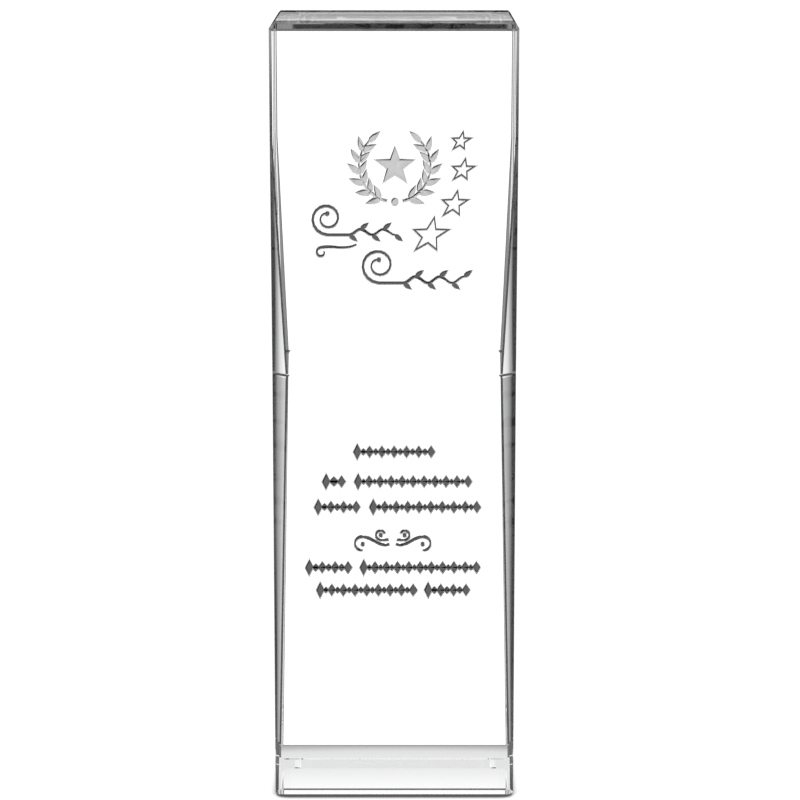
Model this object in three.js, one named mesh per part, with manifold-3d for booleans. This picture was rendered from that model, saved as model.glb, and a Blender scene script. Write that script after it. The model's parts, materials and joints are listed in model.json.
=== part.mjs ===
// Crystal award: a tall clear block with tapering edge facets, engraved on its front face.
// Each engraved line is a recess in the block, and its colour fill is a separate solid.
// Millimetres, +Z up. The origin is the centre of the bottom face, and the front faces -Y.
import * as THREE from "three";
import { mergeVertices } from "three/addons/utils/BufferGeometryUtils.js";
import Module from "manifold-3d";

const wasm = await Module();
wasm.setup();

// The block.
const WIDTH = 63;
const DEPTH = 53;
const HEIGHT = 204;

// Each upright edge has a fine bevel over its whole height, and two long facets that are widest where
// they meet in a crease. The upper facets narrow to a tip, and the lower ones run on to the base.
// A leg is how far a facet reaches along the face that it cuts into.
const BEVEL_LEG = 0.45;
const CREASE_HEIGHT = 114;
const TIP_HEIGHT = 182;
const FRONT_LEGS = { crease: 3.8, base: 1.0 };
const BACK_LEGS = { crease: 3.0, base: 0.6 };

// Chamfers round the top and bottom faces, the one at the foot of the back a little larger.
const TOP_CHAMFER = 1.8;
const FRONT_BASE_CHAMFER = 2.4;
const BACK_BASE_CHAMFER = 3.3;
const SIDE_CHAMFER = 1.1;

// The engraving: depths are measured from the front face.
const RECESS_DEPTH = 1.0;
const FILL_FRONT = 0.25;
const FILL_BACK = 0.75;
const FILL_GAP = 0.15;
const FINE_STROKE = 0.36;

// The emblem: a laurel wreath round a star.
const WREATH_X = 0.2;
const WREATH_Z = 168;
const WREATH_RADIUS = 9.1;
const WREATH_STEM = 0.5;
const KNOT_RADIUS = 0.95;
const BRANCH_START = 0.035;
const BRANCH_END = 0.37;
const FIRST_LEAVES = 0.065;
const LEAF_PAIRS = 6;
const LEAF_LENGTH = 4.2;
const LEAF_WIDTH = 1.5;
const LEAF_LEAN = THREE.MathUtils.degToRad(40);
const LEAF_ROOT = 0.3;
const LEAF_FULLNESS = 0.8;
const TIP_LEAF_TURN = 0.1;
const EMBLEM_STAR_RADIUS = 5.2;

// The four outline stars lean to the right, as italic letters do.
const STAR_LEAN = 0.25;
const STAR_WAIST = 0.42;
const OUTLINE_STARS = [
  { x: 16.9, z: 174.3, radius: 2.9 },
  { x: 17.4, z: 167.0, radius: 3.4 },
  { x: 15.3, z: 158.3, radius: 3.9 },
  { x: 9.1, z: 150.3, radius: 5.1 },
];

// Two flourishes: a volute that unwinds into a waving vine with a leaf on the outside of each bend.
// The eye is the volute's smallest radius as a share of its largest, and it ends at its foot.
const VINE_STROKE = 0.66;
const VINE_LEAF_LENGTH = 2.9;
const VINE_LEAF_WIDTH = 1.15;
const VINE_LEAF_LEAN = THREE.MathUtils.degToRad(38);
const BEAD_RADIUS = 0.6;
const VOLUTE_EYE = 0.3;
const VOLUTE_TURNS = 1.5;
const FOOT_TURN = -0.25;
const FLOURISHES = [
  { name: "flourish_upper", x: -17, base: 150.4, volute: 4.2, start: -11.4, bend: 2.9, rise: 1.5, bends: 4 },
  { name: "flourish_lower", x: -3.9, base: 138.0, volute: 4.6, start: 2.4, bend: 3.1, rise: 1.7, bends: 5 },
];

// A loose tail under the upper flourish: a shallow wave to the left that ends in a curl.
const TAIL_STROKE = 0.58;
const TAIL_WAVE = [
  [-9.6, 147.9],
  [-13.5, 146.2],
  [-15.5, 148.0],
  [-18.6, 147.2],
];
const TAIL_CURL = { x: -18.6, z: 145.9, fromTurn: 0.25, toTurn: 1.05, fromRadius: 1.3, toRadius: 0.75 };

// The dedication: chains of lozenges, one for each group in a row, with a tall first lozenge.
const LOZENGE_PITCH = 3.0;
const LOZENGE_WIDTH = 2.1;
const LOZENGE_HEIGHT = 3.1;
const FIRST_LOZENGE_HEIGHT = 4.3;
const TIP_OVERLAP = 0.3;
const DEDICATION = [
  { name: "row_1", z: 93.8, from: -10.6, to: 10.6 },
  { name: "row_2_left", z: 85.9, from: -18.7, to: -12.6 },
  { name: "row_2_right", z: 85.9, from: -10.4, to: 20.2 },
  { name: "row_3_left", z: 79.1, from: -20.8, to: -8.8 },
  { name: "row_3_right", z: 79.1, from: -6.5, to: 22.5 },
  { name: "row_4_left", z: 62.9, from: -23.2, to: -11.0 },
  { name: "row_4_right", z: 62.9, from: -9.0, to: 22.5 },
  { name: "row_5_left", z: 56.8, from: -20.4, to: 6.0 },
  { name: "row_5_right", z: 56.8, from: 7.8, to: 19.8 },
];

// The scroll ornament between rows 3 and 4. Its right half is given from its middle, and the left mirrors it.
const SCROLL_X = -0.4;
const SCROLL_Z = 69.3;
const SCROLL_STROKE = 0.52;
const ARM = [
  [0.9, -0.1],
  [3.4, -1.2],
  [5.2, 1.9],
  [8.0, 1.9],
];
const ARM_HOOK = { x: 8.0, z: 0, fromTurn: 0.25, toTurn: -0.27, fromRadius: 1.9, toRadius: 1.75 };
const CURL_FOOT = [
  [1.1, 1.1],
  [2.1, 1.0],
];
const CURL = { x: 3.1, z: 2.3, fromTurn: -0.25, toTurn: 0.42, fromRadius: 1.3, toRadius: 1.15 };
const DOT_RADIUS = 0.48;
const DOTS = [
  { place: "outer", x: 7.8, z: -0.1 },
  { place: "inner", x: 3.1, z: 2.3 },
];

// How finely curves are drawn.
const DISC_STEPS = 12;
const BEAD_STEPS = 8;
const VOLUTE_STEPS = 26;
const BEND_STEPS = 5;
const CURL_STEPS = 14;
const WAVE_STEPS = 12;
const LEAF_HALF_STEPS = 4;

const CRYSTAL = { color: 0xf6f8f9, roughness: 0.02, metalness: 0, transparent: true, opacity: 0.35 };
const PALE_FILL = { color: 0xc9c9ca, roughness: 0.7, metalness: 0 };
const DARK_FILL = { color: 0x5d5d60, roughness: 0.65, metalness: 0 };

const CUTTER_SIZE = 600;
const SIDES = [
  { name: "left", sign: -1 },
  { name: "right", sign: 1 },
];

function solidOf(geometry) {
  const bare = geometry.clone();
  bare.deleteAttribute("normal");
  bare.deleteAttribute("uv");
  const merged = mergeVertices(bare, 1e-4);
  return new wasm.Manifold(
    new wasm.Mesh({
      numProp: 3,
      vertProperties: merged.attributes.position.array,
      triVerts: new Uint32Array(merged.index.array),
    }),
  );
}

function geometryOf(solid) {
  const mesh = solid.getMesh();
  const geometry = new THREE.BufferGeometry();
  geometry.setAttribute("position", new THREE.BufferAttribute(mesh.vertProperties, 3));
  geometry.setIndex(new THREE.BufferAttribute(mesh.triVerts, 1));
  geometry.computeVertexNormals();
  return geometry;
}

// Everything on the far side of a plane, to grind a flat face with.
function beyond(point, normal) {
  const block = new THREE.BoxGeometry(CUTTER_SIZE, CUTTER_SIZE, CUTTER_SIZE);
  block.translate(0, 0, CUTTER_SIZE / 2);
  const up = new THREE.Vector3(0, 0, 1);
  block.applyQuaternion(new THREE.Quaternion().setFromUnitVectors(up, normal.clone().normalize()));
  block.translate(point.x, point.y, point.z);
  return solidOf(block);
}

// The stock removed from one upright edge: beyond its bevel, or beyond both of its long facets.
function edgeCut(signX, signY) {
  const leg = signY < 0 ? FRONT_LEGS : BACK_LEGS;
  const side = (signX * WIDTH) / 2;
  const crease = new THREE.Vector3(side, signY * (DEPTH / 2 - leg.crease), CREASE_HEIGHT);
  const upperSlope = leg.crease / (TIP_HEIGHT - CREASE_HEIGHT);
  const lowerSlope = (leg.crease - leg.base) / CREASE_HEIGHT;
  const upper = beyond(crease, new THREE.Vector3(signX, signY, -upperSlope));
  const lower = beyond(crease, new THREE.Vector3(signX, signY, lowerSlope));
  const bevelEdge = new THREE.Vector3(side, signY * (DEPTH / 2 - BEVEL_LEG), 0);
  const bevel = beyond(bevelEdge, new THREE.Vector3(signX, signY, 0));
  return upper.intersect(lower).add(bevel);
}

function crystalBlock() {
  const box = new THREE.BoxGeometry(WIDTH, DEPTH, HEIGHT);
  box.translate(0, 0, HEIGHT / 2);
  let block = solidOf(box);
  for (const sign of [-1, 1]) {
    block = block.subtract(edgeCut(sign, -1)).subtract(edgeCut(sign, 1));
    const across = (sign * WIDTH) / 2;
    const along = (sign * DEPTH) / 2;
    const baseChamfer = sign < 0 ? FRONT_BASE_CHAMFER : BACK_BASE_CHAMFER;
    const grinds = [
      [new THREE.Vector3(0, along, HEIGHT - TOP_CHAMFER), new THREE.Vector3(0, sign, 1)],
      [new THREE.Vector3(0, along, baseChamfer), new THREE.Vector3(0, sign, -1)],
      [new THREE.Vector3(across, 0, HEIGHT - SIDE_CHAMFER), new THREE.Vector3(sign, 0, 1)],
      [new THREE.Vector3(across, 0, SIDE_CHAMFER), new THREE.Vector3(sign, 0, -1)],
    ];
    for (const [point, normal] of grinds) {
      block = block.subtract(beyond(point, normal));
    }
  }
  return block;
}

// A flat drawing on the front face, given as shapes in X and Z, made solid between two depths.
function plate(shapes, front, back) {
  let whole = null;
  for (const shape of shapes) {
    const slab = new THREE.ExtrudeGeometry(shape, { depth: back - front, bevelEnabled: false });
    slab.rotateX(Math.PI / 2);
    slab.translate(0, back - DEPTH / 2, 0);
    const solid = solidOf(slab);
    whole = whole ? whole.add(solid) : solid;
  }
  return whole;
}

function polygon(points) {
  return new THREE.Shape(points);
}

function disc(x, z, radius, steps = DISC_STEPS) {
  const points = [];
  for (let i = 0; i < steps; i++) {
    const turn = (2 * Math.PI * i) / steps;
    points.push(new THREE.Vector2(x + radius * Math.cos(turn), z + radius * Math.sin(turn)));
  }
  return polygon(points);
}

// A brush stroke: a line of points, and its width as a function of the share of the way along.
function stroke(points, widthAt, grow) {
  const last = points.length - 1;
  const left = [];
  const right = [];
  points.forEach((point, i) => {
    const before = points[Math.max(i - 1, 0)];
    const after = points[Math.min(i + 1, last)];
    const ahead = after.clone().sub(before).normalize();
    const side = new THREE.Vector2(-ahead.y, ahead.x).multiplyScalar(widthAt(i / last) / 2 + grow);
    const reach = i === 0 ? -grow : i === last ? grow : 0;
    const centre = point.clone().addScaledVector(ahead, reach);
    left.push(centre.clone().add(side));
    right.unshift(centre.clone().sub(side));
  });
  return polygon([...left, ...right]);
}

// Points on a spiral about (x, z), from one angle, in turns, and radius to another, with both ends included.
function spiral({ x, z, fromTurn, toTurn, fromRadius, toRadius }, steps) {
  const points = [];
  for (let i = 0; i <= steps; i++) {
    const share = i / steps;
    const turn = 2 * Math.PI * (fromTurn + (toTurn - fromTurn) * share);
    const radius = fromRadius + (toRadius - fromRadius) * share;
    points.push(new THREE.Vector2(x + radius * Math.cos(turn), z + radius * Math.sin(turn)));
  }
  return points;
}

// A stroke that swells from a fine start to its full width and narrows again.
function swelling(full) {
  return (share) => FINE_STROKE + (full - FINE_STROKE) * Math.sin(Math.PI * share);
}

// A pointed leaf, widest a little before its middle, whose root reaches back into its stem.
function leaf(x, z, heading, length, width, grow) {
  const tipGrowth = 1.5 * grow;
  const reach = length + 2 * tipGrowth;
  const bulge = width / 2 + grow;
  const points = [];
  for (let i = 0; i < 2 * LEAF_HALF_STEPS; i++) {
    const share = i < LEAF_HALF_STEPS ? i / LEAF_HALF_STEPS : 2 - i / LEAF_HALF_STEPS;
    const side = i < LEAF_HALF_STEPS ? 1 : -1;
    const along = share * reach - tipGrowth - LEAF_ROOT;
    const off = side * bulge * Math.sin(Math.PI * share ** LEAF_FULLNESS);
    const px = x + along * Math.cos(heading) - off * Math.sin(heading);
    const pz = z + along * Math.sin(heading) + off * Math.cos(heading);
    points.push(new THREE.Vector2(px, pz));
  }
  return polygon(points);
}

// One branch of the wreath: a curved stem up one side, with leaves in pairs and a last leaf at its tip.
function laurelBranch(sign, grow) {
  const at = (turn) => {
    const angle = -Math.PI / 2 + sign * 2 * Math.PI * turn;
    const x = WREATH_X + WREATH_RADIUS * Math.cos(angle);
    const z = WREATH_Z + WREATH_RADIUS * Math.sin(angle);
    return { x, z, heading: angle + (sign * Math.PI) / 2 };
  };
  const stem = [];
  for (let i = 0; i <= WAVE_STEPS; i++) {
    const { x, z } = at(BRANCH_START + ((BRANCH_END - BRANCH_START) * i) / WAVE_STEPS);
    stem.push(new THREE.Vector2(x, z));
  }
  const shapes = [stroke(stem, () => WREATH_STEM, grow)];
  for (let i = 0; i < LEAF_PAIRS; i++) {
    const { x, z, heading } = at(FIRST_LEAVES + ((BRANCH_END - FIRST_LEAVES) * i) / LEAF_PAIRS);
    shapes.push(leaf(x, z, heading + LEAF_LEAN, LEAF_LENGTH, LEAF_WIDTH, grow));
    shapes.push(leaf(x, z, heading - LEAF_LEAN, LEAF_LENGTH, LEAF_WIDTH, grow));
  }
  const tip = at(BRANCH_END);
  shapes.push(leaf(tip.x, tip.z, tip.heading + sign * TIP_LEAF_TURN, LEAF_LENGTH, LEAF_WIDTH, grow));
  return shapes;
}

// Corner points of a five-pointed star with its tips at the given radius.
function starPoints(x, z, radius, lean) {
  const points = [];
  for (let i = 0; i < 10; i++) {
    const reach = i % 2 ? radius * STAR_WAIST : radius;
    const angle = Math.PI / 2 + (Math.PI * i) / 5;
    const up = reach * Math.sin(angle);
    points.push(new THREE.Vector2(x + reach * Math.cos(angle) + lean * up, z + up));
  }
  return points;
}

// How far a star's tip moves out when its sides move out by one.
const STAR_MITRE = Math.sqrt(1 + STAR_WAIST ** 2 - 2 * STAR_WAIST * Math.cos(Math.PI / 5))
  / (STAR_WAIST * Math.sin(Math.PI / 5));

function filledStar(x, z, radius, grow) {
  return [polygon(starPoints(x, z, radius + grow * STAR_MITRE, 0))];
}

function outlineStar({ x, z, radius }, grow) {
  const shape = polygon(starPoints(x, z, radius + grow * STAR_MITRE, STAR_LEAN));
  const inner = radius - (FINE_STROKE + grow) * STAR_MITRE;
  shape.holes.push(new THREE.Path(starPoints(x, z, inner, STAR_LEAN)));
  return [shape];
}

// A volute that starts in a bead and unwinds at its foot into a leafy vine.
function flourish({ x, base, volute, start, bend, rise, bends }, grow) {
  const winding = {
    x,
    z: base + volute,
    fromTurn: FOOT_TURN - VOLUTE_TURNS,
    toTurn: FOOT_TURN,
    fromRadius: volute * VOLUTE_EYE,
    toRadius: volute,
  };
  const line = spiral(winding, VOLUTE_STEPS);
  const bead = line[0];
  for (let i = 0; i <= bends * BEND_STEPS; i++) {
    const share = i / BEND_STEPS;
    line.push(new THREE.Vector2(start + bend * share, base + (rise * (1 - Math.cos(Math.PI * share))) / 2));
  }
  const shapes = [stroke(line, swelling(VINE_STROKE), grow)];
  shapes.push(disc(bead.x, bead.y, BEAD_RADIUS + grow, BEAD_STEPS));
  for (let i = 0; i <= bends; i++) {
    const high = i % 2;
    const lean = high ? VINE_LEAF_LEAN : -VINE_LEAF_LEAN;
    const z = high ? base + rise : base;
    shapes.push(leaf(start + bend * i, z, lean, VINE_LEAF_LENGTH, VINE_LEAF_WIDTH, grow));
  }
  return shapes;
}

// A shallow wave through four control points.
function wave(points) {
  return new THREE.CubicBezierCurve(...points.map(([x, z]) => new THREE.Vector2(x, z))).getPoints(WAVE_STEPS);
}

function tail(grow) {
  const line = [...wave(TAIL_WAVE).slice(0, -1), ...spiral(TAIL_CURL, CURL_STEPS)];
  return [stroke(line, swelling(TAIL_STROKE), grow)];
}

function lozenge(x, z, width, height, grow) {
  const scale = 1 + (2 * grow * Math.hypot(width, height)) / (width * height);
  const across = (scale * width) / 2;
  const up = (scale * height) / 2;
  return polygon([
    new THREE.Vector2(x + across, z),
    new THREE.Vector2(x, z + up),
    new THREE.Vector2(x - across, z),
    new THREE.Vector2(x, z - up),
  ]);
}

// A chain of tall lozenges, with a small one that joins each tip to the next.
function lozengeChain({ z, from, to }, grow) {
  const inset = LOZENGE_WIDTH / 2;
  const count = Math.round((to - from - LOZENGE_WIDTH) / LOZENGE_PITCH);
  const pitch = (to - from - LOZENGE_WIDTH) / count;
  const link = pitch - LOZENGE_WIDTH + 2 * TIP_OVERLAP;
  const shapes = [];
  for (let i = 0; i <= count; i++) {
    const x = from + inset + pitch * i;
    shapes.push(lozenge(x, z, LOZENGE_WIDTH, i ? LOZENGE_HEIGHT : FIRST_LOZENGE_HEIGHT, grow));
    if (i < count) {
      shapes.push(lozenge(x + pitch / 2, z, link, link, grow));
    }
  }
  return shapes;
}

// Places points that are given from the scroll's middle on its left or right half.
function onHalf(sign, points) {
  return points.map((point) => new THREE.Vector2(SCROLL_X + sign * point.x, SCROLL_Z + point.y));
}

// A long S-shaped arm that ends in an open hook round a dot.
function outerScroll(sign, grow) {
  const line = [...wave(ARM).slice(0, -1), ...spiral(ARM_HOOK, CURL_STEPS)];
  return [stroke(onHalf(sign, line), swelling(SCROLL_STROKE), grow)];
}

// A small curl that closes over its own dot.
function innerScroll(sign, grow) {
  const foot = CURL_FOOT.map(([x, z]) => new THREE.Vector2(x, z));
  return [stroke(onHalf(sign, [...foot, ...spiral(CURL, CURL_STEPS)]), swelling(SCROLL_STROKE), grow)];
}

// Every fill: its name, its drawing with a given growth, and its finish.
const fills = [
  {
    name: "wreath_knot",
    draw: (grow) => [disc(WREATH_X, WREATH_Z - WREATH_RADIUS, KNOT_RADIUS + grow)],
    finish: PALE_FILL,
  },
  {
    name: "wreath_star",
    draw: (grow) => filledStar(WREATH_X, WREATH_Z, EMBLEM_STAR_RADIUS, grow),
    finish: PALE_FILL,
  },
  { name: "flourish_tail", draw: tail, finish: DARK_FILL },
];
for (const { name, sign } of SIDES) {
  fills.push({ name: `wreath_branch_${name}`, draw: (grow) => laurelBranch(sign, grow), finish: PALE_FILL });
  fills.push({ name: `scroll_outer_${name}`, draw: (grow) => outerScroll(sign, grow), finish: DARK_FILL });
  fills.push({ name: `scroll_inner_${name}`, draw: (grow) => innerScroll(sign, grow), finish: DARK_FILL });
  for (const { place, x, z } of DOTS) {
    fills.push({
      name: `scroll_dot_${place}_${name}`,
      draw: (grow) => [disc(SCROLL_X + sign * x, SCROLL_Z + z, DOT_RADIUS + grow)],
      finish: DARK_FILL,
    });
  }
}
OUTLINE_STARS.forEach((star, i) => {
  fills.push({ name: `star_outline_${i + 1}`, draw: (grow) => outlineStar(star, grow), finish: DARK_FILL });
});
for (const spec of FLOURISHES) {
  fills.push({ name: spec.name, draw: (grow) => flourish(spec, grow), finish: DARK_FILL });
}
for (const spec of DEDICATION) {
  fills.push({ name: spec.name, draw: (grow) => lozengeChain(spec, grow), finish: DARK_FILL });
}

const award = new THREE.Group();

function addNode(name, solid, finish) {
  const node = new THREE.Mesh(geometryOf(solid), new THREE.MeshStandardMaterial(finish));
  node.name = name;
  award.add(node);
}

let tower = crystalBlock();
for (const { name, draw, finish } of fills) {
  tower = tower.subtract(plate(draw(FILL_GAP), -RECESS_DEPTH, RECESS_DEPTH));
  addNode(name, plate(draw(0), FILL_FRONT, FILL_BACK), finish);
}
addNode("crystal_tower", tower, CRYSTAL);

export default award;
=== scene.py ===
"""Looks of the crystal award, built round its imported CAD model.

Metres, +Z up, and the engraved front faces -Y.
"""

import json
import math

import bmesh
import bpy
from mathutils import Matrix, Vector


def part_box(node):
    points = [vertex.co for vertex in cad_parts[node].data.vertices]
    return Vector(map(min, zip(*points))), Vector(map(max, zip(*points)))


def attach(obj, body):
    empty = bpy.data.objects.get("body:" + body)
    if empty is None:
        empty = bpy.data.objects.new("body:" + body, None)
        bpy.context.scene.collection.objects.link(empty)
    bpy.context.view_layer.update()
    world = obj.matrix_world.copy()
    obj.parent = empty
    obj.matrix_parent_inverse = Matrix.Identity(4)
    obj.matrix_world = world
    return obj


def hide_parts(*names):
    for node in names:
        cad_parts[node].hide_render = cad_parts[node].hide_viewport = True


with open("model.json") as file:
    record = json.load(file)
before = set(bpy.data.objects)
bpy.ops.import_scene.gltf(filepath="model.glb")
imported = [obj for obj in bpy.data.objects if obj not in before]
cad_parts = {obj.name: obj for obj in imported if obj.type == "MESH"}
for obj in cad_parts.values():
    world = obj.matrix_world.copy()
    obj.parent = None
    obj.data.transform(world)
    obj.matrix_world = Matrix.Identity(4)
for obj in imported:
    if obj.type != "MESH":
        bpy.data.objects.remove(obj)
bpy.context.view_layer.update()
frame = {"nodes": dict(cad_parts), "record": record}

MM = 0.001
LOW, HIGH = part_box("crystal_tower")
HALF_WIDTH = (HIGH[0] - LOW[0]) / 2
HALF_DEPTH = (HIGH[1] - LOW[1]) / 2
HEIGHT = HIGH[2] - LOW[2]
FRONT = LOW[1]

# Every upright edge has a fine bevel, and long facets that are widest at the crease where they meet.
# The upper ones narrow to a tip. A leg is how far a facet reaches along the face that it cuts into.
BEVEL_LEG = 0.45 * MM
CREASE_HEIGHT = 114 * MM
TIP_HEIGHT = 182 * MM
FRONT_LEGS = {"crease": 3.8 * MM, "base": 1.0 * MM}
BACK_LEGS = {"crease": 3.0 * MM, "base": 0.6 * MM}
FACET_STRIPS = 5
FACET_CROWN = math.radians(7)

# The crease is a fine ground groove with a lip under it. Heights are measured from the crease.
GROOVE_TOP = 0.35 * MM
GROOVE_FLOOR = 0.12 * MM
GROOVE_FOOT = -0.36 * MM
GROOVE_DEPTH = 0.4 * MM
LIP_FOOT = -0.7 * MM
LIP_DEPTH = 0.1 * MM

# Chamfers of the ends, and the fine polished arris on every edge. The arrises of the long facets are
# measured along each face, and those of the end chamfers across their own flat. An arris between a wall
# and a chamfer is turned WALL_ARRIS_SHARE of the way from the wall to the chamfer.
TOP_CHAMFER = 1.8 * MM
FRONT_BASE_CHAMFER = 2.4 * MM
BACK_BASE_CHAMFER = 3.3 * MM
SIDE_CHAMFER = 1.1 * MM
FRONT_ARRIS = 0.3 * MM
BACK_ARRIS = 0.07 * MM
END_ARRIS = 0.4 * MM
TOP_WALL_ARRIS = 0.7 * MM
FOOT_WALL_ARRIS = 0.8 * MM
WALL_ARRIS_SHARE = 0.81

# The top face is polished very slightly convex from front to back.
TOP_STRIPS = 8
TOP_CROWN = math.radians(0.5)

# The engraving keeps clear of the facets by its margin. SPARE is what is ground off at both ends.
RECESS_DEPTH = 1.0 * MM
ENGRAVING_MARGIN = 2 * MM
SPARE = 2 * MM

# Each fill slopes down from its rim over DISH_WIDTH, or, where its strokes are narrow, over DISH_SHARE
# of half their mean width.
DISH_WIDTH = 0.4 * MM
DISH_SHARE = 0.5
DISH_SLOPE = 0.55

# Tolerances of the mesh work, and the edge angles in degrees below which shading is smooth.
ON_CUT = 1e-8
SAME_POINT = 1e-6
NEAR = 0.01 * MM
FLAT = 0.9999
FACING_FRONT = 0.99
GLASS_SMOOTH = 2.6
PAINT_SMOOTH = 40

GLASS_TINT = (0.99, 0.995, 0.995)
GLASS_INDEX = 1.52
POLISH_SCALE = 60
POLISH_SPAN = (0.3, 0.8)
POLISH_ROUGHNESS = 0.004

# Colours of the fills: on their flat, and a painted inner shadow where they turn up at the upper and left
# walls. The painted shadow starts and is full at the two values of SHADED_LEAN, which is how far the
# surface leans right and down.
PALE_PAINT = {"flat": (0.69, 0.69, 0.7), "shaded": (0.03, 0.03, 0.032)}
DARK_PAINT = {"flat": (0.14, 0.14, 0.145), "shaded": (0.012, 0.012, 0.013)}
PAINT_ROUGHNESS = 0.75
PAINT_SPECULAR = 0.2
PAINT_GRAIN = 900
SPECKLE_SPAN = (0.3, 0.7)
SPECKLE_LEVEL = 0.92
SHADED_LEAN = (0.08, 0.42)


def leg_at(z, legs):
    """Leg of the facets of an upright edge at a height, past the ends of the block too."""
    if z > CREASE_HEIGHT:
        return max(BEVEL_LEG, legs["crease"] * (TIP_HEIGHT - z) / (TIP_HEIGHT - CREASE_HEIGHT))
    return legs["base"] + (legs["crease"] - legs["base"]) * z / CREASE_HEIGHT


def bevel_start(legs):
    """Height at which the upper facets run out into the bevel."""
    return TIP_HEIGHT - (TIP_HEIGHT - CREASE_HEIGHT) * BEVEL_LEG / legs["crease"]


def corner_section(leg, arris):
    """One corner in plan, in the first quadrant, from the face across the depth to the side face."""
    face_end = Vector((HALF_WIDTH - leg, HALF_DEPTH))
    side_end = Vector((HALF_WIDTH, HALF_DEPTH - leg))
    chord = side_end - face_end
    length = chord.length
    along = chord / length
    outward = Vector((1, 1)).normalized()
    sagitta = length * FACET_CROWN / 8
    points = [face_end - Vector((arris, 0))]
    for k in range(FACET_STRIPS + 1):
        reach = arris + (length - 2 * arris) * k / FACET_STRIPS
        share = reach / length
        points.append(face_end + along * reach + outward * sagitta * 4 * share * (1 - share))
    points.append(side_end - Vector((0, arris)))
    return points


def section(z, groove=0.0):
    """The whole block in plan at a height, counterclockwise from the front right corner."""
    front = corner_section(leg_at(z, FRONT_LEGS) + groove, FRONT_ARRIS)
    back = corner_section(leg_at(z, BACK_LEGS) + groove, BACK_ARRIS)
    ring = []
    for sign_x, sign_y in ((1, -1), (1, 1), (-1, 1), (-1, -1)):
        corner = front if sign_y < 0 else back
        turned = corner if sign_x * sign_y < 0 else corner[::-1]
        ring += [Vector((sign_x * p.x, sign_y * p.y, z)) for p in turned]
    return ring


def grind(bm, point, normal):
    """Grinds a flat face: removes what lies beyond a plane and closes the cut."""
    geometry = bm.verts[:] + bm.edges[:] + bm.faces[:]
    cut = bmesh.ops.bisect_plane(
        bm, geom=geometry, dist=ON_CUT, plane_co=point, plane_no=normal, clear_outer=True
    )
    edges = [e for e in cut["geom_cut"] if isinstance(e, bmesh.types.BMEdge)]
    bmesh.ops.edgeloop_fill(bm, edges=edges)


def grind_arris(bm, corner, first, second, share, width=END_ARRIS):
    """Grinds a fine flat on the edge of two faces, turned by a share of the way to the second one."""
    whole = first.angle(second)
    turn, rest = whole * share, whole * (1 - share)
    normal = first.normalized() * math.sin(rest) + second.normalized() * math.sin(turn)
    depth = width / (1 / math.tan(turn) + 1 / math.tan(rest))
    grind(bm, corner - normal.normalized() * depth, normal)


def block_mesh():
    """The block without its engraving."""
    bm = bmesh.new()
    levels = [
        (-SPARE, 0.0),
        (CREASE_HEIGHT + LIP_FOOT, 0.0),
        (CREASE_HEIGHT + GROOVE_FOOT, LIP_DEPTH),
        (CREASE_HEIGHT + GROOVE_FLOOR, GROOVE_DEPTH),
        (CREASE_HEIGHT + GROOVE_TOP, 0.0),
        (bevel_start(BACK_LEGS), 0.0),
        (bevel_start(FRONT_LEGS), 0.0),
        (HEIGHT + SPARE, 0.0),
    ]
    rings = [[bm.verts.new(p) for p in section(z, depth * math.sqrt(2))] for z, depth in levels]
    count = len(rings[0])
    for lower, upper in zip(rings, rings[1:]):
        for i in range(count):
            j = (i + 1) % count
            bm.faces.new((lower[i], lower[j], upper[j], upper[i]))
    bm.faces.new(rings[0][::-1])
    bm.faces.new(rings[-1])

    up, down = Vector((0, 0, 1)), Vector((0, 0, -1))
    for k in range(TOP_STRIPS):
        near = HALF_DEPTH * (2 * k / TOP_STRIPS - 1)
        far = HALF_DEPTH * (2 * (k + 1) / TOP_STRIPS - 1)
        slope = TOP_CROWN * (near + far) / (2 * HALF_DEPTH)
        drop = TOP_CROWN * near * near / (2 * HALF_DEPTH)
        grind(bm, Vector((0, near, HEIGHT - drop)), Vector((0, slope, 1)))
    grind(bm, Vector((0, 0, 0)), down)

    ends = [
        (up, HEIGHT, {-1: TOP_CHAMFER, 1: TOP_CHAMFER}),
        (down, 0, {-1: FRONT_BASE_CHAMFER, 1: BACK_BASE_CHAMFER}),
    ]
    for end, level, chamfers in ends:
        for sign, chamfer in chamfers.items():
            for outward, half, reach in (
                (Vector((0, sign, 0)), HALF_DEPTH, chamfer),
                (Vector((sign, 0, 0)), HALF_WIDTH, SIDE_CHAMFER),
            ):
                slanted = outward + end
                at_wall = outward * half + Vector((0, 0, level)) - end * reach
                at_end = outward * (half - reach) + Vector((0, 0, level))
                if end is up and outward.y:
                    at_end.z -= TOP_CROWN * at_end.y**2 / (2 * HALF_DEPTH)
                grind(bm, at_wall, slanted)
                wall_arris = END_ARRIS
                if end is up:
                    wall_arris = TOP_WALL_ARRIS
                elif outward.y < 0:
                    wall_arris = FOOT_WALL_ARRIS
                grind_arris(bm, at_wall, outward, slanted, WALL_ARRIS_SHARE, wall_arris)
                grind_arris(bm, at_end, end, slanted, 0.5)
    return bm


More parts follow.
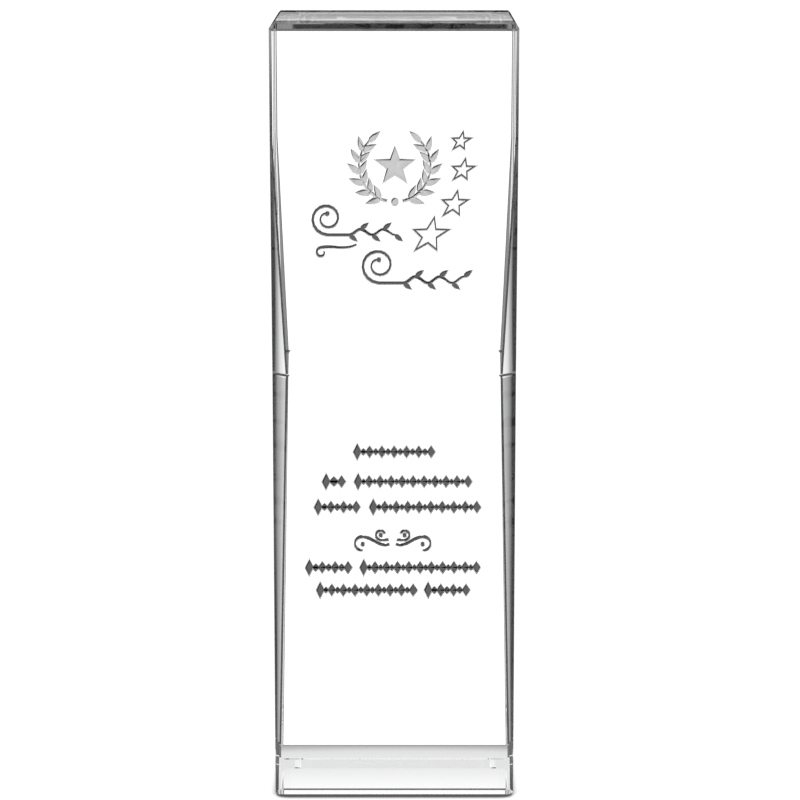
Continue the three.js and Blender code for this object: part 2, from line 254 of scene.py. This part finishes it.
def add_recesses(bm):
    """Replaces the plain front face with one that opens into the recesses of the CAD tower."""
    cad = frame["nodes"]["crystal_tower"].data
    verts = {}
    reach = HALF_WIDTH - FRONT_LEGS["crease"] - ENGRAVING_MARGIN
    for polygon in cad.polygons:
        points = [cad.vertices[i].co for i in polygon.vertices]
        depths = [p.y - FRONT for p in points]
        inside = max(depths) < RECESS_DEPTH + NEAR and max(abs(p.x) for p in points) < reach
        if not inside or max(depths) < NEAR:
            continue
        corners = []
        for p in points:
            key = tuple(round(c / MM, 3) for c in p)
            if key not in verts:
                verts[key] = bm.verts.new(p)
            corners.append(verts[key])
        if len(set(corners)) == len(corners):
            bm.faces.new(corners)
    bm.normal_update()
    flat = [f for f in bm.faces if f.normal.y < -FLAT]
    pieces = [f for f in flat if abs(f.calc_center_median().y - FRONT) < NEAR]
    plain = bmesh.ops.dissolve_faces(bm, faces=pieces)["region"][0]
    outline = plain.edges[:]
    bmesh.ops.delete(bm, geom=[plain], context="FACES_ONLY")
    rims = [e for e in bm.edges if len(e.link_faces) == 1 and e not in outline]
    bmesh.ops.triangle_fill(bm, use_beauty=True, edges=outline + rims, normal=(0, -1, 0))


def smooth_below(bm, degrees):
    """Smooth shading over shallow steps, with every sharper edge left crisp."""
    limit = math.radians(degrees)
    for face in bm.faces:
        face.smooth = True
    for edge in bm.edges:
        edge.smooth = len(edge.link_faces) == 2 and edge.calc_face_angle() < limit


def object_from(bm, name, material):
    mesh = bpy.data.meshes.new(name)
    bm.to_mesh(mesh)
    bm.free()
    mesh.materials.append(material)
    made = bpy.data.objects.new(name, mesh)
    bpy.context.scene.collection.objects.link(made)
    return made


# Width in degrees of the soft edge of a window of light.
WINDOW_SOFT = 1.5
CORNER_SOFT = 0.1


class Nodes:
    """A few short ways to add nodes to a tree."""

    def __init__(self, tree):
        self.tree = tree
        tree.nodes.clear()

    def add(self, kind, **settings):
        node = self.tree.nodes.new(kind)
        for key, value in settings.items():
            setattr(node, key, value)
        return node

    def link(self, source, target):
        if hasattr(source, "is_output"):
            self.tree.links.new(source, target)
        else:
            target.default_value = source

    def math(self, operation, first, second=0.0):
        node = self.add("ShaderNodeMath", operation=operation)
        self.link(first, node.inputs[0])
        self.link(second, node.inputs[1])
        return node.outputs[0]

    def ramp(self, value, start, end, low=0.0, high=1.0):
        node = self.add("ShaderNodeMapRange", interpolation_type="SMOOTHSTEP")
        settings = (value, start, end, low, high)
        for name, source in zip(("Value", "From Min", "From Max", "To Min", "To Max"), settings):
            self.link(source, node.inputs[name])
        return node.outputs["Result"]

    def blend(self, factor, first, second):
        node = self.add("ShaderNodeMix", data_type="FLOAT")
        for name, source in (("Factor", factor), ("A", first), ("B", second)):
            self.link(source, node.inputs[name])
        return node.outputs["Result"]

    def profile(self, value, stops):
        """A level that follows straight lines between (value, level) stops, and is even past the ends."""
        total = stops[0][1]
        for (start, low), (end, high) in zip(stops, stops[1:]):
            if high == low:
                continue
            node = self.add("ShaderNodeMapRange")
            settings = (value, start, end, 0.0, high - low)
            for name, source in zip(("Value", "From Min", "From Max", "To Min", "To Max"), settings):
                self.link(source, node.inputs[name])
            total = self.math("ADD", node.outputs["Result"], total)
        return total

    def window(self, value, low, high, soft):
        """1 between two values, falling smoothly to 0 over a soft edge centred on each."""
        rise = self.ramp(value, low - soft / 2, low + soft / 2)
        fall = self.ramp(value, high - soft / 2, high + soft / 2, 1.0, 0.0)
        return self.math("MULTIPLY", rise, fall)

    def within(self, outside, inside, direction, span, soft=WINDOW_SOFT):
        """A level that changes to another inside a span of azimuths and elevations."""
        across = self.window(direction["azimuth"], *span["azimuth"], soft)
        upright = self.window(direction["elevation"], *span["elevation"], soft)
        return self.blend(self.math("MULTIPLY", across, upright), outside, inside)


def crystal_material():
    material = bpy.data.materials.new("crystal_glass")
    material.use_nodes = True
    nodes = Nodes(material.node_tree)
    output = nodes.add("ShaderNodeOutputMaterial")
    shader = nodes.add("ShaderNodeBsdfPrincipled")
    shader.inputs["Base Color"].default_value = (*GLASS_TINT, 1)
    shader.inputs["Transmission Weight"].default_value = 1
    shader.inputs["IOR"].default_value = GLASS_INDEX
    coordinates = nodes.add("ShaderNodeTexCoord")
    polish = nodes.add("ShaderNodeTexNoise")
    polish.inputs["Scale"].default_value = POLISH_SCALE
    polish.inputs["Detail"].default_value = 2
    nodes.link(coordinates.outputs["Object"], polish.inputs["Vector"])
    roughness = nodes.ramp(polish.outputs["Fac"], *POLISH_SPAN, 0.0, POLISH_ROUGHNESS)
    nodes.link(roughness, shader.inputs["Roughness"])
    nodes.link(shader.outputs["BSDF"], output.inputs["Surface"])
    return material


def fill_material(name, paint):
    """Matt colour fill, with a painted inner shadow that darkens it where it turns up at the upper and
    left walls of its recess.
    """
    material = bpy.data.materials.new(name)
    material.use_nodes = True
    nodes = Nodes(material.node_tree)
    output = nodes.add("ShaderNodeOutputMaterial")
    shader = nodes.add("ShaderNodeBsdfPrincipled")
    shader.inputs["Roughness"].default_value = PAINT_ROUGHNESS
    shader.inputs["Specular IOR Level"].default_value = PAINT_SPECULAR
    coordinates = nodes.add("ShaderNodeTexCoord")
    noise = nodes.add("ShaderNodeTexNoise")
    noise.inputs["Scale"].default_value = PAINT_GRAIN
    noise.inputs["Detail"].default_value = 3
    nodes.link(coordinates.outputs["Object"], noise.inputs["Vector"])
    split = nodes.add("ShaderNodeSeparateXYZ")
    nodes.link(coordinates.outputs["Normal"], split.inputs[0])
    # Painted inner shadow: the fill turns dark where its surface leans right and down, under its upper
    # and left walls.
    lean = nodes.math("SUBTRACT", split.outputs["X"], split.outputs["Z"])
    shade = nodes.ramp(lean, *SHADED_LEAN)
    speckle = nodes.ramp(noise.outputs["Fac"], *SPECKLE_SPAN, SPECKLE_LEVEL, 1.0)
    mix = nodes.add("ShaderNodeMix", data_type="RGBA")
    nodes.link(shade, mix.inputs["Factor"])
    mix.inputs["A"].default_value = (*paint["flat"], 1)
    mix.inputs["B"].default_value = (*paint["shaded"], 1)
    tone = nodes.add("ShaderNodeMix", data_type="RGBA", blend_type="MULTIPLY")
    tone.inputs["Factor"].default_value = 1
    nodes.link(mix.outputs["Result"], tone.inputs["A"])
    nodes.link(speckle, tone.inputs["B"])
    nodes.link(tone.outputs["Result"], shader.inputs["Base Color"])
    nodes.link(shader.outputs["BSDF"], output.inputs["Surface"])
    return material


def make_tower():
    bm = block_mesh()
    add_recesses(bm)
    bmesh.ops.recalc_face_normals(bm, faces=bm.faces[:])
    smooth_below(bm, GLASS_SMOOTH)
    tower = object_from(bm, "crystal_body", crystal_material())
    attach(tower, "root")
    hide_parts("crystal_tower")


def dish_front(bm):
    """Sinks the front of a fill below its rim, as paint does when it dries in a groove."""
    front = [f for f in bm.faces if f.normal.y < -FACING_FRONT]
    area = sum(f.calc_area() for f in front)
    edges = [e for f in front for e in f.edges if any(g not in front for g in e.link_faces)]
    rim = sum(e.calc_length() for e in edges)
    slope = min(DISH_WIDTH, DISH_SHARE * area / rim)
    for depth in (-DISH_SLOPE * slope, 0):
        bmesh.ops.inset_region(
            bm, faces=front, thickness=slope, depth=depth, use_even_offset=False
        )


def make_fills():
    materials = {
        "pale_fill": fill_material("pale_colour_fill", PALE_PAINT),
        "dark_fill": fill_material("dark_colour_fill", DARK_PAINT),
    }
    for subpart in frame["record"]["subparts"]:
        slot = subpart["material_slot"]
        if slot not in materials:
            continue
        name = subpart["node"]
        bm = bmesh.new()
        bm.from_mesh(frame["nodes"][name].data)
        bmesh.ops.remove_doubles(bm, verts=bm.verts[:], dist=SAME_POINT)
        bm.normal_update()
        dish_front(bm)
        bm.normal_update()
        smooth_below(bm, PAINT_SMOOTH)
        fill = object_from(bm, name + "_paint", materials[slot])
        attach(fill, "root")
        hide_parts(name)


# Studio: a plain white floor, with a painted contact shadow that darkens it only where the award all but
# touches it, and a white backdrop. CONTACT_SPAN is how open the floor is, from 0 to 1, where its painted
# shadow ends and starts.
FLOOR_DROP = 0.02 * MM
FLOOR_SIZE = 12
CONTACT_REACH = 4 * MM
CONTACT_SPAN = (0.35, 0.75)
CONTACT_LEVEL = 0.1
# Glow of the painted shadow of the floor right under the award, seen only through its glass.
UNDERSIDE_LEVEL = 0.12
BACKDROP = 1.05


def make_floor():
    material = bpy.data.materials.new("studio_floor")
    material.use_nodes = True
    nodes = Nodes(material.node_tree)
    output = nodes.add("ShaderNodeOutputMaterial")
    shader = nodes.add("ShaderNodeEmission")
    # Painted contact shadow: the floor's glow dims where ambient occlusion finds the award close by.
    contact = nodes.add("ShaderNodeAmbientOcclusion", samples=16)
    contact.inputs["Distance"].default_value = CONTACT_REACH
    strength = nodes.ramp(contact.outputs["AO"], *CONTACT_SPAN, CONTACT_LEVEL, BACKDROP)
    nodes.link(strength, shader.inputs["Strength"])
    nodes.link(shader.outputs[0], output.inputs["Surface"])
    bm = bmesh.new()
    bmesh.ops.create_grid(bm, x_segments=1, y_segments=1, size=FLOOR_SIZE / 2)
    floor = object_from(bm, "studio_floor", material)
    floor.location.z = -FLOOR_DROP
    floor.visible_transmission = False
    floor.visible_glossy = False
    floor.visible_diffuse = False
    floor.visible_shadow = False


def make_underside():
    """A painted shadow: a dim glowing sheet right under the award, which shows only through its glass."""
    material = bpy.data.materials.new("painted_floor_shadow")
    material.use_nodes = True
    nodes = Nodes(material.node_tree)
    output = nodes.add("ShaderNodeOutputMaterial")
    shader = nodes.add("ShaderNodeEmission")
    shader.inputs["Strength"].default_value = UNDERSIDE_LEVEL
    nodes.link(shader.outputs[0], output.inputs["Surface"])
    bm = bmesh.new()
    bmesh.ops.create_grid(bm, x_segments=1, y_segments=1, size=0.5)
    shade = object_from(bm, "painted_floor_shadow", material)
    shade.scale = (2 * HALF_WIDTH, 2 * HALF_DEPTH, 1)
    shade.location.z = -FLOOR_DROP / 2
    shade.visible_camera = False
    shade.visible_glossy = False
    shade.visible_diffuse = False
    shade.visible_shadow = False


# Light by direction. Azimuth is measured in degrees from straight behind the award, to either side,
# and elevation from level. Each list holds (angle, level) stops with straight lines between them.

# All round, by elevation.
SURROUND = [
    (-60, 0.15), (-42, 0.05), (-28, 0.02), (-25, 0.2), (0, 0.25), (30, 0.6), (60, 0.79),
    (83.6, 0.79), (84.8, 0.02),
]

# Straight behind, by elevation. From low to high: what the top chamfers show, the plain front, the top
# face, the base, and overhead.
BEHIND = [
    (-60, 0.03), (-35, 0.01), (-27.5, 0.01), (-26, 0.1), (-23, 0.13),
    (-20.5, 1.15), (2, 1.15),
    (2.2, 0.28), (2.75, 0.28), (2.8, 0.0), (3.14, 0.0), (3.2, 0.42), (3.7, 0.5), (4.2, 0.65),
    (4.5, 0.95), (4.6, 0.24), (4.8, 0.24), (4.95, 0.4), (5.1, 0.12), (6.2, 0.12), (6.5, 0.3),
    (8, 0.66), (10.6, 0.8), (10.75, 0.74), (10.82, 0.6), (10.88, 0.45), (11.3, 0.4),
    (12.6, 1.15), (16.5, 1.15), (18.0, 0.75), (18.8, 0.8), (19.2, 0.98),
    (40, 1.05), (46, 0.1), (52, 0.1), (56, 0.79), (83.6, 0.79), (84.8, 0.02),
]
BEHIND_EDGE = (5, 7)

# Dark boards with gaps to either side, by azimuth.
FLAGS = [
    (6, 0.6), (7.5, 0.01), (18, 0.01), (19.5, 0.9), (24, 0.9), (27, 0.01), (38, 0.01),
    (41, 0.3), (48, 0.3), (49, 0.01), (56, 0.01), (60, 0.2),
]
FLAGS_SPAN = {"azimuth": (5.5, 60), "elevation": (-26, -4.9)}

# Across the long facets, by azimuth, which is first shifted by an amount that depends on elevation.
UPPER_FACETS = [
    (23.7, 1.0), (24.3, 0.88), (25.3, 0.72), (25.7, 0.6), (26, 0.46), (26.4, 0.36),
    (26.8, 0.28), (27.1, 0.14), (27.5, 0.01),
]
LOWER_FACETS = [
    (24, 1.0), (24.5, 0.62), (25.2, 0.49), (25.9, 0.38), (26.6, 0.3), (27.3, 0.2),
    (27.7, 0.09), (28.2, 0.01),
]
FACET_SHIFT = [(-14.5, 0), (-11.6, 0.9), (-10.5, 0.7), (-9.5, 0), (-4, 5.4)]
RIGHT_SHIFT = 0.6
FACETS_SPAN = {"azimuth": (19, 34), "elevation": (-19.5, -4.9)}
FACETS_MEET = (-11.2, -10)

# Across the foot of the facets, by elevation.
FOOT = [(4, 0.08), (19.3, 0.13), (19.75, 0.01)]
FOOT_SPAN = {"azimuth": (22.5, 60), "elevation": (2.5, 24)}

# Windows of one level each, and small crisp ones for the corners of the top and the base.
WINDOWS = [
    {"azimuth": (41, 49), "elevation": (-40, -16.5), "level": 1.1},
    {"azimuth": (85.5, 93.5), "elevation": (-11, 12), "level": 1.1},
    {"azimuth": (128, 142), "elevation": (-26, 12), "level": 1.1},
    {"azimuth": (88, 104), "elevation": (-24, -14), "level": 0.66},
    {"azimuth": (64, 89), "elevation": (-36, -16), "level": 0.9},
    {"azimuth": (97, 110), "elevation": (-2, 8), "level": 0.9},
    {"azimuth": (7, 18), "elevation": (13.5, 19.5), "level": 0.9},
    {"azimuth": (8, 24), "elevation": (8, 12.9), "level": 0.1},
    {"azimuth": (121, 132), "elevation": (52, 62), "level": 0.12},
]
CORNERS = [
    {"azimuth": (3.3, 5.5), "elevation": (-3.3, 1.8), "level": 0.0},
    {"azimuth": (2.47, 12), "elevation": (-60, -27), "level": 0.25},
    {"azimuth": (2.46, 5), "elevation": (12, 14.5), "level": 0.03},
]

# Light from the camera's side, which fades out overhead.
FRONT_LIGHT = 0.95
FRONT_EDGE = (106, 116)
FRONT_TOP = (45, 55)


def make_world():
    world = bpy.data.worlds.new("studio")
    bpy.context.scene.world = world
    world.use_nodes = True
    nodes = Nodes(world.node_tree)
    output = nodes.add("ShaderNodeOutputWorld")
    background = nodes.add("ShaderNodeBackground")
    coordinates = nodes.add("ShaderNodeTexCoord")
    split = nodes.add("ShaderNodeSeparateXYZ")
    nodes.link(coordinates.outputs["Generated"], split.inputs[0])
    degrees = 180 / math.pi
    turn = nodes.math("ARCTAN2", split.outputs["X"], split.outputs["Y"])
    turn = nodes.math("MULTIPLY", turn, degrees)
    azimuth = nodes.math("ABSOLUTE", turn)
    elevation = nodes.math("MULTIPLY", nodes.math("ARCSINE", split.outputs["Z"]), degrees)
    direction = {"azimuth": azimuth, "elevation": elevation}

    level = nodes.profile(elevation, SURROUND)
    from_front = nodes.ramp(azimuth, *FRONT_EDGE)
    from_front = nodes.math("MULTIPLY", from_front, nodes.ramp(elevation, *FRONT_TOP, 1.0, 0.0))
    level = nodes.blend(from_front, level, FRONT_LIGHT)
    level = nodes.within(level, nodes.profile(azimuth, FLAGS), direction, FLAGS_SPAN)

    shifted = nodes.math("ADD", azimuth, nodes.profile(elevation, FACET_SHIFT))
    upper = nodes.profile(shifted, UPPER_FACETS)
    lower = nodes.math("ADD", shifted, nodes.ramp(turn, -1, 1, RIGHT_SHIFT, 0.0))
    lower = nodes.profile(lower, LOWER_FACETS)
    facets = nodes.blend(nodes.ramp(elevation, *FACETS_MEET), lower, upper)
    level = nodes.within(level, facets, direction, FACETS_SPAN)
    level = nodes.within(level, nodes.profile(elevation, FOOT), direction, FOOT_SPAN)
    for window in WINDOWS:
        level = nodes.within(level, window["level"], direction, window)

    behind = nodes.profile(elevation, BEHIND)
    level = nodes.blend(nodes.ramp(azimuth, *BEHIND_EDGE, 1.0, 0.0), level, behind)
    for corner in CORNERS:
        level = nodes.within(level, corner["level"], direction, corner, CORNER_SOFT)

    path = nodes.add("ShaderNodeLightPath")
    shown = nodes.blend(path.outputs["Is Camera Ray"], level, BACKDROP)
    nodes.link(shown, background.inputs["Color"])
    nodes.link(background.outputs[0], output.inputs["Surface"])


# Camera: a long lens a little above the award, looking slightly down and square on to the front.
CAMERA_BACK = 722.4 * MM
CAMERA_HEIGHT = 254.8 * MM
CAMERA_ASIDE = 1.5 * MM
CAMERA_PITCH = math.radians(11.52)
CAMERA_LENS = 128.8
CAMERA_SENSOR = 36
CAMERA_CLIP = (0.01, 50)


def make_camera():
    data = bpy.data.cameras.new("camera")
    data.lens = CAMERA_LENS
    data.sensor_width = CAMERA_SENSOR
    data.clip_start, data.clip_end = CAMERA_CLIP
    camera = bpy.data.objects.new("camera", data)
    camera.location = (CAMERA_ASIDE, FRONT - CAMERA_BACK, CAMERA_HEIGHT)
    camera.rotation_euler = (math.pi / 2 - CAMERA_PITCH, 0, 0)
    bpy.context.scene.collection.objects.link(camera)
    bpy.context.scene.camera = camera


def set_light_transport():
    scene = bpy.context.scene
    scene.view_settings.view_transform = "Standard"
    scene.cycles.max_bounces = 24
    scene.cycles.transmission_bounces = 24
    scene.cycles.glossy_bounces = 16
    scene.cycles.diffuse_bounces = 3


make_camera()
make_tower()
make_fills()
make_floor()
make_underside()
make_world()
set_light_transport()
